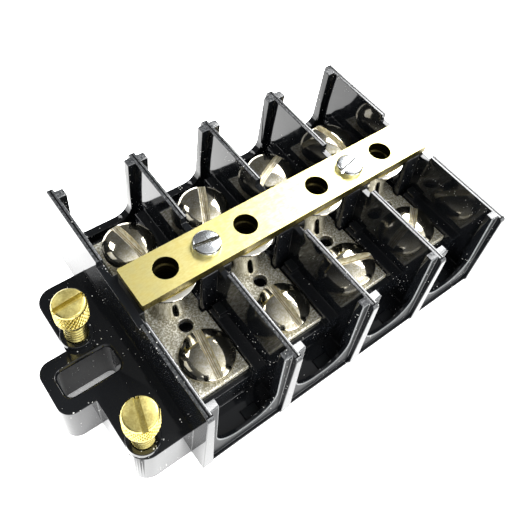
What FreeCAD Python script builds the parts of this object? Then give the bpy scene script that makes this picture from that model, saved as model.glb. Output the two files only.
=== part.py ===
import FreeCAD, Part
import math
import os

# Four-pole shorting terminal strip.  Units are millimetres, up is +Z.
# x = 0 is the middle barrier, y = 0 the centre line of the shorting bar,
# z = 0 the underside of the moulding.

# driving sizes of the row of poles
POLES = 4
PITCH = 15.875

# barriers between the poles
WALL_HEIGHT = 19.4
WALL_HALF_TOP = 0.6
WALL_HALF_FOOT = 1.0
WALL_END_TOP = 24.5
WALL_END_FOOT = 24.8
WALL_TIP_RADIUS = 0.8
SADDLE_FRONT = 6.5
SADDLE_REAR = 6.85

# upright flanges that close the barrier ends, and the panels between them
RIB_HALF = 2.05
RIB_THICK = 1.45
NOSE_OUTSTAND_TOP = 1.1
NOSE_OUTSTAND_FOOT = 0.8
RIB_OUTER_TOP = WALL_END_TOP - NOSE_OUTSTAND_TOP
RIB_OUTER_FOOT = WALL_END_FOOT - NOSE_OUTSTAND_FOOT
RIB_INNER = RIB_OUTER_TOP - RIB_THICK
FRONT_PANEL_THICK = 0.8
REAR_PANEL_THICK = 1.7
PLINTH_HEIGHT = 0.55
PLINTH_OUTSTAND = 0.6
FRONT_SILL = 2.8
FRONT_CORNER = 5.0
REAR_SILL = 4.2
REAR_CORNER = 3.0

# floor, pedestals under the plates and the small upstands beside them
FLOOR_TOP = 1.8
PLATE_HALF_X = 4.87
PLATE_HALF_Y = 17.45
PLATE_THICK = 1.3
PLATE_TOP = 8.3
PEDESTAL_TOP = PLATE_TOP - PLATE_THICK
PEDESTAL_HALF_Y = PLATE_HALF_Y + 1.05
LEDGE_CLEARANCE = 0.12
LEDGE_FRONT = 19.1
LEDGE_TOP = 9.0
NUB_FRONT = 7.85
NUB_REAR = 5.5
NUB_OUTSTAND = 2.4
NUB_TOP = 10.0
PAD_FROM = 0.8
PAD_TO = 3.8
PAD_DEPTH = 2.25
PAD_HEIGHT = 0.35

# shorting bar and the pillars it lies on
BAR_LEFT = -30.4
BAR_RIGHT = 32.95
BAR_HALF_Y = 3.97
BAR_THICK = 1.6
BAR_UNDERSIDE = WALL_HEIGHT - BAR_THICK
BAR_HOLE_RADIUS = 2.15
BAR_CORNER_RADIUS = 0.3
PILLAR_HALF_Y = 4.2
PILLAR_LEFT = 3.75
PILLAR_RIGHT = 2.15
PILLAR_END = 1.55
PILLAR_FOOT_SPREAD = 0.6

# contact posts
POST_DISC_RADIUS = 5.1
POST_DISC_RIM = 0.45
POST_DISC_EDGE = 0.1
POST_BORE_EDGE = 0.2
POST_FOOT_RADIUS = 3.6
POST_WAIST_RADIUS = 3.0
POST_GAP_TO_BAR = 0.4
POST_TOP = BAR_UNDERSIDE - POST_GAP_TO_BAR
POST_NEST_CLEARANCE = 0.6
POST_BORE_FLOOR = PLATE_TOP + 0.7
POST_STUD_RADIUS = 1.9
POST_STUD_BOTTOM = 0.5
POST_STUD_POINT = 0.3
STUD_CLEARANCE = 0.1

# nuts under the posts, sunk in the underside
NUT_ACROSS_FLATS = 7.0
NUT_THICK = 2.6
NUT_POCKET_RADIUS = 4.5
NUT_POCKET_DEPTH = 3.6
NUT_THREAD_CLEARANCE = 0.05

# binding screws
BINDING_Y = 12.3
BINDING_HEAD_RADIUS = 4.75
BINDING_HEAD_HEIGHT = 2.7
BINDING_HEAD_RIM = 0.9
BINDING_HEAD_EDGE = 0.12
BINDING_SHANK_RADIUS = 2.05
BINDING_SHANK_POINT = 0.5
REAR_BACKED_OUT = 1.7
BINDING_SHANK_LENGTH = 6.0
BINDING_SLOT_WIDTH = 1.5
BINDING_SLOT_DEPTH = 1.5
THREAD_CLEARANCE = 0.06
SHANK_WELL_CLEARANCE = 0.45
SHANK_WELL_DEPTH_SPARE = 0.8
FRONT_SLOT_ANGLES = (80.3, 87.3, -16.3, 38.0)
REAR_SLOT_ANGLES = (98.0, 63.0, 24.5, 95.0)

# small gauge hole through each plate, just in front of its post
GAUGE_HOLE_RADIUS = 1.22
GAUGE_HOLE_X = 0.4
GAUGE_HOLE_Y = -5.45
GAUGE_HOLE_BOTTOM = 4.0

# screws that hold the bar, with their threaded inserts
BAR_SCREW_HEAD_RADIUS = 2.5
BAR_SCREW_HEAD_HEIGHT = 1.15
BAR_SCREW_HEAD_ROUND = 0.4
BAR_SCREW_SHANK_POINT = 0.3
BAR_SCREW_SHANK_RADIUS = 1.25
BAR_SCREW_SHANK_LENGTH = 7.0
BAR_SCREW_SLOT_WIDTH = 0.7
BAR_SCREW_SLOT_DEPTH = 0.6
BAR_SCREW_SLOT_ANGLES = (40.0, 20.0)
BAR_SCREW_HOLE_RADIUS = 1.4
INSERT_RADIUS = 1.7
INSERT_HEIGHT = 6.2
INSERT_WELL_DEPTH = 7.6

# shorting screws, parked in the mounting flange
SHORT_HEAD_RADIUS = 2.75
SHORT_HEAD_HEIGHT = 4.2
SHORT_HEAD_TOP = 20.6
SHORT_HEAD_CHAMFER = 0.35
SHORT_KNURL_DEPTH = 0.12
SHORT_SLOT_WIDTH = 0.9
SHORT_SLOT_DEPTH = 1.1
SHORT_SHANK_RADIUS = 1.84
SHORT_SHANK_LENGTH = 10.2
SHORT_SHANK_POINT = 0.5
SHORT_THREAD_CLEARANCE = 0.06
SHORT_THREAD_RADIUS = SHORT_SHANK_RADIUS + SHORT_THREAD_CLEARANCE
SHORT_SLOT_ANGLES = (74.7, 3.5)
SHORT_COLLAR_RADIUS = 2.7
SHORT_COLLAR_HEIGHT = 1.3

# mounting flange with its slotted tongue; reaches are from the first barrier and
# the flange's edges, and the shorting screws are parked a set way in from the edges
FLANGE_REACH = 10.28
FLANGE_FRONT = -21.43
FLANGE_REAR = 12.79
FLANGE_TOP = 9.6
FLANGE_CORNER = 3.0
TONGUE_OUTSTAND = 5.43
TONGUE_WIDTH = 10.0
TONGUE_OFF_CENTRE = 0.16
TONGUE_CORNER = 2.3
SLOT_LENGTH = 9.5
SLOT_WIDTH = 4.8
SLOT_CORNER = 1.2
SLOT_END_WALL = 2.06
SLOT_CHAMFER = 0.3
PARK_FROM_LEFT = 2.68
PARK_FROM_FRONT = 3.03
PARK_FROM_REAR = 10.69

# how far a cutting shape runs past what it cuts
OVERRUN = 1.0

WALLS = [(i - POLES / 2) * PITCH for i in range(POLES + 1)]
BAYS = [(i - (POLES - 1) / 2) * PITCH for i in range(POLES)]
BAR_SCREW_X = (WALLS[1], WALLS[POLES - 1])
FLANGE_LEFT = WALLS[0] - FLANGE_REACH
TONGUE_LEFT = FLANGE_LEFT - TONGUE_OUTSTAND
TONGUE_CENTRE = (FLANGE_FRONT + FLANGE_REAR) / 2 + TONGUE_OFF_CENTRE
TONGUE_FRONT = TONGUE_CENTRE - TONGUE_WIDTH / 2
TONGUE_REAR = TONGUE_CENTRE + TONGUE_WIDTH / 2
SLOT_CENTRE_X = TONGUE_LEFT + SLOT_END_WALL + SLOT_LENGTH / 2
SLOT_CENTRE_Y = TONGUE_CENTRE
PARK_X = FLANGE_LEFT + PARK_FROM_LEFT
SHORT_POSITIONS = ((PARK_X, FLANGE_FRONT + PARK_FROM_FRONT), (PARK_X, FLANGE_REAR - PARK_FROM_REAR))

V = FreeCAD.Vector


def block(x0, x1, y0, y1, z0, z1):
    return Part.makeBox(x1 - x0, y1 - y0, z1 - z0, V(x0, y0, z0))


def rod(x, y, z0, z1, radius):
    return Part.makeCylinder(radius, z1 - z0, V(x, y, z0), V(0, 0, 1))


def rect_wire(x0, x1, y0, y1, z):
    points = [V(x0, y0, z), V(x1, y0, z), V(x1, y1, z), V(x0, y1, z), V(x0, y0, z)]
    return Part.makePolygon(points)


def taper_block(low, high, z0, z1):
    # low and high are (x0, x1, y0, y1) rectangles at z0 and z1
    wires = [rect_wire(*low, z0), rect_wire(*high, z1)]
    return Part.makeLoft(wires, True, True)


def turned(points, x, y):
    # closed (radius, z) outline turned round the vertical through (x, y)
    outline = [V(r, 0, z) for r, z in points]
    face = Part.Face(Part.makePolygon(outline + [outline[0]]))
    solid = face.revolve(V(0, 0, 0), V(0, 0, 1), 360)
    solid.translate(V(x, y, 0))
    return solid


def wall_half(z):
    return WALL_HALF_FOOT + (WALL_HALF_TOP - WALL_HALF_FOOT) * z / WALL_HEIGHT


def rounded_edges(solid, radius, test):
    picked = [e for e in solid.Edges if test(e)]
    return solid.makeFillet(radius, picked) if picked else solid


def upright(edge):
    a = edge.Vertexes[0].Point
    b = edge.Vertexes[-1].Point
    return math.hypot(a.x - b.x, a.y - b.y) < 1e-6 and abs(a.z - b.z) > 0.1


def slot_cutter(x, y, top, depth, width, reach, angle):
    cutter = block(-reach, reach, -width / 2, width / 2, top - depth, top + depth)
    cutter.rotate(V(0, 0, 0), V(0, 0, 1), angle)
    cutter.translate(V(x, y, 0))
    return cutter


# moulded base: barriers
def barrier(x):
    low = (x - WALL_HALF_FOOT, x + WALL_HALF_FOOT, -WALL_END_FOOT, WALL_END_FOOT)
    high = (x - WALL_HALF_TOP, x + WALL_HALF_TOP, -WALL_END_TOP, WALL_END_TOP)
    wall = taper_block(low, high, 0, WALL_HEIGHT)

    def tip(edge):
        box = edge.BoundBox
        at_top = box.ZMin > WALL_HEIGHT - 0.01
        at_end = box.YLength < 0.01
        return at_top and at_end
    wall = rounded_edges(wall, WALL_TIP_RADIUS, tip)
    half = WALL_HALF_FOOT + OVERRUN
    top = WALL_HEIGHT + OVERRUN
    saddle = block(x - half, x + half, -SADDLE_FRONT, SADDLE_REAR, BAR_UNDERSIDE, top)
    return wall.cut(saddle)


def end_ribs(x, side, left, right):
    # side is -1 for the front, +1 for the rear
    y_in = side * RIB_INNER
    y_top = side * RIB_OUTER_TOP
    y_foot = side * RIB_OUTER_FOOT
    low = (x - left, x + right, *sorted((y_in, y_foot)))
    high = (x - left, x + right, *sorted((y_in, y_top)))
    return taper_block(low, high, 0, WALL_HEIGHT)


def wire_opening(x, side, sill, corner):
    half = PITCH / 2 - RIB_HALF
    low, high = sorted((side * (RIB_INNER - OVERRUN), side * (WALL_END_FOOT + OVERRUN)))
    opening = block(x - half, x + half, low, high, sill, WALL_HEIGHT + OVERRUN)

    def lower_corner(edge):
        box = edge.BoundBox
        return box.YLength > RIB_THICK and box.ZMax < sill + 0.01
    return rounded_edges(opening, corner, lower_corner)


def end_panel(side, sill, corner, thick):
    left = WALLS[0]
    right = WALLS[-1]
    top = sorted((side * (RIB_OUTER_TOP - thick), side * RIB_OUTER_TOP))
    foot = sorted((side * (RIB_OUTER_FOOT - thick), side * RIB_OUTER_FOOT))
    panel = taper_block((left, right, *foot), (left, right, *top), 0, WALL_HEIGHT)
    for x in BAYS:
        panel = panel.cut(wire_opening(x, side, sill, corner))
    y0, y1 = sorted((side * RIB_INNER, side * (RIB_OUTER_FOOT + PLINTH_OUTSTAND)))
    return panel.fuse(block(left, right, y0, y1, 0, PLINTH_HEIGHT))


def pillar(x, left, right):
    foot = PILLAR_HALF_Y + PILLAR_FOOT_SPREAD
    low = (x - left, x + right, -foot, foot)
    high = (x - left, x + right, -PILLAR_HALF_Y, PILLAR_HALF_Y)
    return taper_block(low, high, PEDESTAL_TOP, BAR_UNDERSIDE)


def flange():
    body = block(FLANGE_LEFT, WALLS[0], FLANGE_FRONT, FLANGE_REAR, 0, FLANGE_TOP)

    def outer_corner(edge):
        return upright(edge) and edge.Vertexes[0].Point.x < FLANGE_LEFT + 0.01
    body = rounded_edges(body, FLANGE_CORNER, outer_corner)
    tongue = block(TONGUE_LEFT, FLANGE_LEFT + OVERRUN, TONGUE_FRONT, TONGUE_REAR, 0, FLANGE_TOP)

    def tongue_corner(edge):
        return upright(edge) and edge.Vertexes[0].Point.x < TONGUE_LEFT + 0.01
    tongue = rounded_edges(tongue, TONGUE_CORNER, tongue_corner)
    body = body.fuse(tongue).removeSplitter()
    collar_top = FLANGE_TOP + SHORT_COLLAR_HEIGHT
    for x, y in SHORT_POSITIONS:
        body = body.fuse(rod(x, y, FLANGE_TOP - OVERRUN, collar_top, SHORT_COLLAR_RADIUS))
    body = body.cut(mounting_slot())
    for x, y in SHORT_POSITIONS:
        body = body.cut(rod(x, y, -OVERRUN, collar_top + OVERRUN, SHORT_THREAD_RADIUS))
    return body


def slot_outline(spread, z):
    # the slot's rounded rectangle, widened all round by spread
    x = SLOT_LENGTH / 2 + spread
    y = SLOT_WIDTH / 2 + spread
    slab = block(SLOT_CENTRE_X - x, SLOT_CENTRE_X + x, SLOT_CENTRE_Y - y, SLOT_CENTRE_Y + y, z, z + 1)
    slab = rounded_edges(slab, SLOT_CORNER + spread, upright)
    foot = [f for f in slab.Faces if f.BoundBox.ZMax < z + 0.01]
    return foot[0].OuterWire


def mounting_slot():
    edge = FLANGE_TOP - SLOT_CHAMFER
    over = FLANGE_TOP + SLOT_CHAMFER
    shaft = Part.Face(slot_outline(0, -OVERRUN)).extrude(V(0, 0, over + OVERRUN))
    mouth = Part.makeLoft([slot_outline(0, edge), slot_outline(2 * SLOT_CHAMFER, over)], True, True)
    return shaft.fuse(mouth)


def moulded_base():
    base = block(WALLS[0], WALLS[-1], -RIB_OUTER_TOP, RIB_OUTER_TOP, 0, FLOOR_TOP)
    base = base.fuse(block(WALLS[0], WALLS[-1], -PEDESTAL_HALF_Y, PEDESTAL_HALF_Y, 0, PEDESTAL_TOP))
    parts = [barrier(x) for x in WALLS]
    ends = ((-1, FRONT_SILL, FRONT_CORNER, FRONT_PANEL_THICK),
            (1, REAR_SILL, REAR_CORNER, REAR_PANEL_THICK))
    for side, sill, corner, thick in ends:
        parts.append(end_panel(side, sill, corner, thick))
        for x in WALLS:
            left = 0 if x == WALLS[0] else RIB_HALF
            right = 0 if x == WALLS[-1] else RIB_HALF
            parts.append(end_ribs(x, side, left, right))
    for x in WALLS:
        if x == WALLS[0]:
            parts.append(pillar(x, 0, PILLAR_END))
        elif x == WALLS[-1]:
            parts.append(pillar(x, PILLAR_LEFT, 0))
        else:
            parts.append(pillar(x, PILLAR_LEFT, PILLAR_RIGHT))
    for wall in WALLS[1:]:
        inner = wall - PITCH / 2 + PLATE_HALF_X + LEDGE_CLEARANCE
        parts.append(block(inner, wall, -LEDGE_FRONT, -NUB_REAR, 0, LEDGE_TOP))
        parts.append(block(inner, wall, NUB_REAR, LEDGE_FRONT, 0, LEDGE_TOP))
        parts.append(block(wall - NUB_OUTSTAND, wall, -NUB_FRONT, -NUB_REAR, PEDESTAL_TOP, NUB_TOP))
    for x in BAYS:
        parts.append(block(x + PAD_FROM, x + PAD_TO, -RIB_OUTER_TOP, PAD_DEPTH - RIB_OUTER_TOP,
                           0, FLOOR_TOP + PAD_HEIGHT))
    parts.append(flange())
    base = base.fuse(parts)
    cuts = []
    for x in BAYS:
        cuts.append(rod(x, 0, PEDESTAL_TOP, WALL_HEIGHT + OVERRUN, POST_DISC_RADIUS + POST_NEST_CLEARANCE))
        cuts.append(rod(x, 0, -OVERRUN, PEDESTAL_TOP + OVERRUN, POST_STUD_RADIUS + STUD_CLEARANCE))
        cuts.append(rod(x, 0, -OVERRUN, NUT_POCKET_DEPTH, NUT_POCKET_RADIUS))
        cuts.append(rod(x + GAUGE_HOLE_X, GAUGE_HOLE_Y, GAUGE_HOLE_BOTTOM, PEDESTAL_TOP + OVERRUN,
                        GAUGE_HOLE_RADIUS))
        well_floor = PLATE_TOP - BINDING_SHANK_LENGTH - SHANK_WELL_DEPTH_SPARE
        well = BINDING_SHANK_RADIUS + SHANK_WELL_CLEARANCE
        for y in (-BINDING_Y, BINDING_Y):
            cuts.append(rod(x, y, well_floor, PEDESTAL_TOP + OVERRUN, well))
    for x in BAR_SCREW_X:
        cuts.append(rod(x, 0, BAR_UNDERSIDE - INSERT_HEIGHT, BAR_UNDERSIDE + OVERRUN, INSERT_RADIUS))
        cuts.append(rod(x, 0, BAR_UNDERSIDE - INSERT_WELL_DEPTH, BAR_UNDERSIDE + OVERRUN,
                        BAR_SCREW_SHANK_RADIUS + SHANK_WELL_CLEARANCE / 2))
    base = base.cut(cuts)
    return base.removeSplitter()


# terminal plates
def terminal_plate(x):
    plate = block(x - PLATE_HALF_X, x + PLATE_HALF_X, -PLATE_HALF_Y, PLATE_HALF_Y,
                  PEDESTAL_TOP, PLATE_TOP)
    left_wall = x - PITCH / 2
    right_wall = x + PITCH / 2
    reach = PILLAR_END if left_wall == WALLS[0] else PILLAR_RIGHT
    spread = PILLAR_HALF_Y + PILLAR_FOOT_SPREAD + LEDGE_CLEARANCE
    cuts = []
    nest = rod(x, 0, PEDESTAL_TOP - OVERRUN, PLATE_TOP + OVERRUN, POST_DISC_RADIUS + POST_NEST_CLEARANCE)
    right_foot = block(right_wall - PILLAR_LEFT - LEDGE_CLEARANCE, right_wall, -spread, spread,
                       PEDESTAL_TOP - OVERRUN, PLATE_TOP + OVERRUN)
    left_foot = block(left_wall, left_wall + reach + LEDGE_CLEARANCE, -spread, spread,
                      PEDESTAL_TOP - OVERRUN, PLATE_TOP + OVERRUN)
    inner_nest = rod(x, 0, PEDESTAL_TOP - OVERRUN, PLATE_TOP + OVERRUN,
                     POST_DISC_RADIUS + POST_NEST_CLEARANCE - LEDGE_CLEARANCE)
    for foot in (right_foot, left_foot):
        cuts.append(foot.cut(inner_nest))
    cuts.append(rod(x, 0, PEDESTAL_TOP - OVERRUN, PLATE_TOP + OVERRUN, POST_STUD_RADIUS + STUD_CLEARANCE))
    cuts.append(rod(x + GAUGE_HOLE_X, GAUGE_HOLE_Y, PEDESTAL_TOP - OVERRUN, PLATE_TOP + OVERRUN,
                    GAUGE_HOLE_RADIUS))
    for y in (-BINDING_Y, BINDING_Y):
        cuts.append(rod(x, y, PEDESTAL_TOP - OVERRUN, PLATE_TOP + OVERRUN,
                        BINDING_SHANK_RADIUS + THREAD_CLEARANCE))
    return plate.cut(cuts)


# contact posts: foot, waist, trumpet mouth, tapped hole and stud in one turning
def contact_post(x):
    rise = POST_TOP - POST_DISC_RIM - PLATE_TOP
    outline = [(0, POST_STUD_BOTTOM), (POST_STUD_RADIUS - POST_STUD_POINT, POST_STUD_BOTTOM)]
    outline.append((POST_STUD_RADIUS, POST_STUD_BOTTOM + POST_STUD_POINT))
    outline.append((POST_STUD_RADIUS, PLATE_TOP))
    outline.append((POST_FOOT_RADIUS, PLATE_TOP))
    steps = 14
    for i in range(1, steps + 1):
        t = i / steps
        foot = (POST_FOOT_RADIUS - POST_WAIST_RADIUS) * (1 - t) ** 4
        mouth = (POST_DISC_RADIUS - POST_WAIST_RADIUS) * t ** 3.2
        outline.append((POST_WAIST_RADIUS + foot + mouth, PLATE_TOP + rise * t))
    outline.append((POST_DISC_RADIUS, POST_TOP - POST_DISC_EDGE))
    outline.append((POST_DISC_RADIUS - POST_DISC_EDGE, POST_TOP))
    outline.append((SHORT_THREAD_RADIUS + POST_BORE_EDGE, POST_TOP))
    outline.append((SHORT_THREAD_RADIUS, POST_TOP - POST_BORE_EDGE))
    outline.append((SHORT_THREAD_RADIUS, POST_BORE_FLOOR))
    outline.append((0, POST_BORE_FLOOR))
    return turned(outline, x, 0)


def post_nuts():
    nuts = []
    corner = NUT_ACROSS_FLATS / math.sqrt(3)
    top = NUT_POCKET_DEPTH
    bottom = top - NUT_THICK
    for x in BAYS:
        points = []
        for i in range(7):
            angle = math.radians(60 * i + 30)
            points.append(V(x + corner * math.cos(angle), corner * math.sin(angle), bottom))
        nut = Part.Face(Part.makePolygon(points)).extrude(V(0, 0, NUT_THICK))
        crown = Part.makeCone(NUT_ACROSS_FLATS / 2, NUT_ACROSS_FLATS / 2 + NUT_THICK,
                              NUT_THICK, V(x, 0, bottom), V(0, 0, 1))
        nut = nut.common(crown)
        bore = rod(x, 0, bottom - OVERRUN, top + OVERRUN, POST_STUD_RADIUS + NUT_THREAD_CLEARANCE)
        nuts.append(nut.cut(bore))
    return Part.makeCompound(nuts)


# slotted screws
def binding_screw(x, y, raised, angle):
    # raised is how far the screw is backed out of its seat on the plate
    seat = PLATE_TOP + raised
    top = seat + BINDING_HEAD_HEIGHT
    rim = seat + BINDING_HEAD_RIM
    radius = BINDING_HEAD_RADIUS
    bottom = seat - BINDING_SHANK_LENGTH
    outline = [(0, bottom), (BINDING_SHANK_RADIUS - BINDING_SHANK_POINT, bottom)]
    outline.append((BINDING_SHANK_RADIUS, bottom + BINDING_SHANK_POINT))
    outline.append((BINDING_SHANK_RADIUS, seat))
    outline.append((radius - BINDING_HEAD_EDGE, seat))
    outline.append((radius, seat + BINDING_HEAD_EDGE))
    outline.append((radius, rim))
    steps = 9
    for i in range(1, steps):
        t = i / steps * math.pi / 2
        outline.append((radius * math.cos(t) ** 0.75, rim + (top - rim) * math.sin(t)))
    outline.append((0, top))
    screw = turned(outline, x, y)
    return screw.cut(slot_cutter(x, y, top, BINDING_SLOT_DEPTH, BINDING_SLOT_WIDTH,
                                 radius + OVERRUN, angle))


def bar_screw(x, angle):
    seat = WALL_HEIGHT
    top = seat + BAR_SCREW_HEAD_HEIGHT
    radius = BAR_SCREW_HEAD_RADIUS
    bottom = seat - BAR_SCREW_SHANK_LENGTH
    outline = [(0, bottom), (BAR_SCREW_SHANK_RADIUS - BAR_SCREW_SHANK_POINT, bottom)]
    outline.append((BAR_SCREW_SHANK_RADIUS, bottom + BAR_SCREW_SHANK_POINT))
    outline.append((BAR_SCREW_SHANK_RADIUS, seat))
    outline.append((radius, seat))
    outline.append((radius, top - BAR_SCREW_HEAD_ROUND))
    outline.append((radius - 0.3 * BAR_SCREW_HEAD_ROUND, top - 0.3 * BAR_SCREW_HEAD_ROUND))
    outline.append((radius - BAR_SCREW_HEAD_ROUND, top))
    outline.append((0, top))
    screw = turned(outline, x, 0)
    return screw.cut(slot_cutter(x, 0, top, BAR_SCREW_SLOT_DEPTH, BAR_SCREW_SLOT_WIDTH,
                                 radius + OVERRUN, angle))


def shorting_screw(x, y, angle):
    top = SHORT_HEAD_TOP
    seat = top - SHORT_HEAD_HEIGHT
    bottom = seat - SHORT_SHANK_LENGTH
    radius = SHORT_HEAD_RADIUS
    outline = [(0, bottom), (SHORT_SHANK_RADIUS - SHORT_SHANK_POINT, bottom)]
    outline.append((SHORT_SHANK_RADIUS, bottom + SHORT_SHANK_POINT))
    outline.append((SHORT_SHANK_RADIUS, seat))
    outline.append((radius - SHORT_HEAD_CHAMFER, seat))
    outline.append((radius, seat + SHORT_HEAD_CHAMFER))
    outline.append((radius, top - SHORT_HEAD_CHAMFER))
    outline.append((radius - SHORT_HEAD_CHAMFER, top))
    outline.append((0, top))
    screw = turned(outline, x, y)
    return screw.cut(slot_cutter(x, y, top, SHORT_SLOT_DEPTH, SHORT_SLOT_WIDTH,
                                 radius + OVERRUN, angle))


def shorting_bar():
    bar = block(BAR_LEFT, BAR_RIGHT, -BAR_HALF_Y, BAR_HALF_Y, BAR_UNDERSIDE, WALL_HEIGHT)
    bar = rounded_edges(bar, BAR_CORNER_RADIUS, upright)
    for x in BAYS:
        bar = bar.cut(rod(x, 0, BAR_UNDERSIDE - OVERRUN, WALL_HEIGHT + OVERRUN, BAR_HOLE_RADIUS))
    for x in BAR_SCREW_X:
        bar = bar.cut(rod(x, 0, BAR_UNDERSIDE - OVERRUN, WALL_HEIGHT + OVERRUN, BAR_SCREW_HOLE_RADIUS))
    return bar


def wall_inserts():
    inserts = []
    for x in BAR_SCREW_X:
        sleeve = rod(x, 0, BAR_UNDERSIDE - INSERT_HEIGHT, BAR_UNDERSIDE, INSERT_RADIUS)
        bore = rod(x, 0, BAR_UNDERSIDE - INSERT_HEIGHT - OVERRUN, BAR_UNDERSIDE + OVERRUN,
                   BAR_SCREW_SHANK_RADIUS + THREAD_CLEARANCE)
        inserts.append(sleeve.cut(bore))
    return Part.makeCompound(inserts)


def save(name, shape):
    assert shape.isValid(), name
    box = shape.BoundBox
    print(name, len(shape.Solids), round(shape.Volume, 1),
          [round(v, 2) for v in (box.XMin, box.XMax, box.YMin, box.YMax, box.ZMin, box.ZMax)])
    shape.exportStep("parts/" + name + ".step")


os.makedirs("parts", exist_ok=True)
save("moulded_base", moulded_base())
for number, bay in enumerate(BAYS, 1):
    save("terminal_plate_%d" % number, terminal_plate(bay))
    save("contact_post_%d" % number, contact_post(bay))
    save("binding_screw_front_%d" % number,
         binding_screw(bay, -BINDING_Y, 0, FRONT_SLOT_ANGLES[number - 1]))
    save("binding_screw_rear_%d" % number,
         binding_screw(bay, BINDING_Y, REAR_BACKED_OUT, REAR_SLOT_ANGLES[number - 1]))
for number, place in enumerate(BAR_SCREW_X, 1):
    save("bar_screw_%d" % number, bar_screw(place, BAR_SCREW_SLOT_ANGLES[number - 1]))
for number, place in enumerate(SHORT_POSITIONS, 1):
    save("shorting_screw_%d" % number,
         shorting_screw(place[0], place[1], SHORT_SLOT_ANGLES[number - 1]))
save("shorting_bar", shorting_bar())
save("wall_inserts", wall_inserts())
save("post_nuts", post_nuts())
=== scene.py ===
"""Barrier terminal strip with its shorting bar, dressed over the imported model."""
import logging
import math
from collections.abc import Callable
from dataclasses import dataclass
from enum import Enum, IntEnum

import bmesh
import bpy
from mathutils import Matrix, Vector


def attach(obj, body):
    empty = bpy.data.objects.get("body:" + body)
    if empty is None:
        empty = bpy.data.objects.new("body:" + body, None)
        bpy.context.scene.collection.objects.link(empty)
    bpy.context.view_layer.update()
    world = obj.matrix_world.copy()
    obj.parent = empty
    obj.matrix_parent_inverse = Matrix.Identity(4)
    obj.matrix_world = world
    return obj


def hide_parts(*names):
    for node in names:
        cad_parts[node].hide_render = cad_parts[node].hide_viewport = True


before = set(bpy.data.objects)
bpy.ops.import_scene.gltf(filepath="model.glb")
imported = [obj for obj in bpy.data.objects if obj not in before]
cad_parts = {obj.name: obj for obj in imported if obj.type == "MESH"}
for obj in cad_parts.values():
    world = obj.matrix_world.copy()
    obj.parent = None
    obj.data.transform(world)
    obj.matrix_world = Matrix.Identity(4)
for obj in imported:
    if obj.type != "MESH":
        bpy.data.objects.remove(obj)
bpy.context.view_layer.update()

MM = 0.001
LOG = logging.getLogger("strip")

POLES = 4
PITCH = 15.875
BAYS = [(i - (POLES - 1) / 2) * PITCH for i in range(POLES)]
WALLS = [(i - POLES / 2) * PITCH for i in range(POLES + 1)]
# x, y and slot angle of the shorting screws parked in the flange
PARKED = ((-39.35, -18.4, 74.7), (-39.35, 2.1, 3.5))

# heights above the table, mm
PLATE_TOP_Z = 8.3
FLANGE_TOP_Z = 9.6
PARKED_SEAT_Z = 16.4
POST_TOP_Z = 17.4
BAR_TOP_Z = 19.4
WALL_TOP_Z = 19.4

# points nearer than this are merged, and a plane cuts through a point nearer than that, mm
WELD_MM = 0.0005
PLANE_MM = 0.0002
# edges sharper than this stay sharp in the shading
SHARP_DEGREES = 32.0
# a face whose normal has more than this along an axis looks that way
FLAT = 0.9

Tree = bpy.types.NodeTree
Socket = bpy.types.NodeSocket
Face = bpy.types.MeshPolygon
Outline = list[tuple[float, float]]


class Side(Enum):
    """The two wiring sides of the strip."""

    FRONT = -1
    REAR = 1


class Drive(Enum):
    """How a screw head looks from above."""

    DOMED = "domed"
    CHEESE = "cheese"
    KNURLED = "knurled"


class Patch(IntEnum):
    """The moulding's finishes, in the order in which they are added to it."""

    GLOSS = 0
    MATT = 1
    RUBBED = 2
    PARTING = 3


class Cut(IntEnum):
    """A screw's finishes: its own, the bright one of its slot, and the dark one, which is painted
    shade in the slot and a painted reflection on a cheese head's broken edge.
    """

    OWN = 0
    BRIGHT = 1
    DARK = 2


# ---- materials: small helpers ----


def linear(code: str) -> tuple[float, float, float, float]:
    """Turn an sRGB hex value into the linear colour that shaders take.

    Args:
        code: six hex digits, such as "c8bda0".

    Returns:
        Red, green, blue and alpha, linear.
    """
    out = []
    for i in (0, 2, 4):
        value = int(code[i:i + 2], 16) / 255.0
        out.append(value / 12.92 if value <= 0.04045 else ((value + 0.055) / 1.055) ** 2.4)
    return (out[0], out[1], out[2], 1.0)


def add_node(tree: Tree, kind: str, values: dict | None = None,
             links: dict | None = None, **settings: object) -> bpy.types.Node:
    """Add one node with its settings, socket values and links.

    Args:
        tree: the material's node tree.
        kind: Blender's name of the node type.
        values: socket name or number to value.
        links: socket name or number to the output socket that feeds it.
        settings: attributes set on the node itself.

    Returns:
        The new node.
    """
    made = tree.nodes.new(kind)
    for name, value in settings.items():
        setattr(made, name, value)
    for socket, value in (values or {}).items():
        made.inputs[socket].default_value = value
    for socket, source in (links or {}).items():
        tree.links.new(source, made.inputs[socket])
    return made


def facing_up(tree: Tree, least: float) -> Socket:
    """Tell the faces that look upwards.

    Args:
        tree: the material's node tree.
        least: how much of the normal has to point up.

    Returns:
        A socket that is 1 on such a face and 0 elsewhere.
    """
    facing = add_node(tree, "ShaderNodeNewGeometry")
    tilt = add_node(tree, "ShaderNodeSeparateXYZ", None,
                    {"Vector": facing.outputs["True Normal"]})
    upward = add_node(tree, "ShaderNodeMath", {1: least}, {0: tilt.outputs["Z"]},
                      operation="GREATER_THAN")
    return upward.outputs["Value"]


# ---- finishes ----


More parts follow.
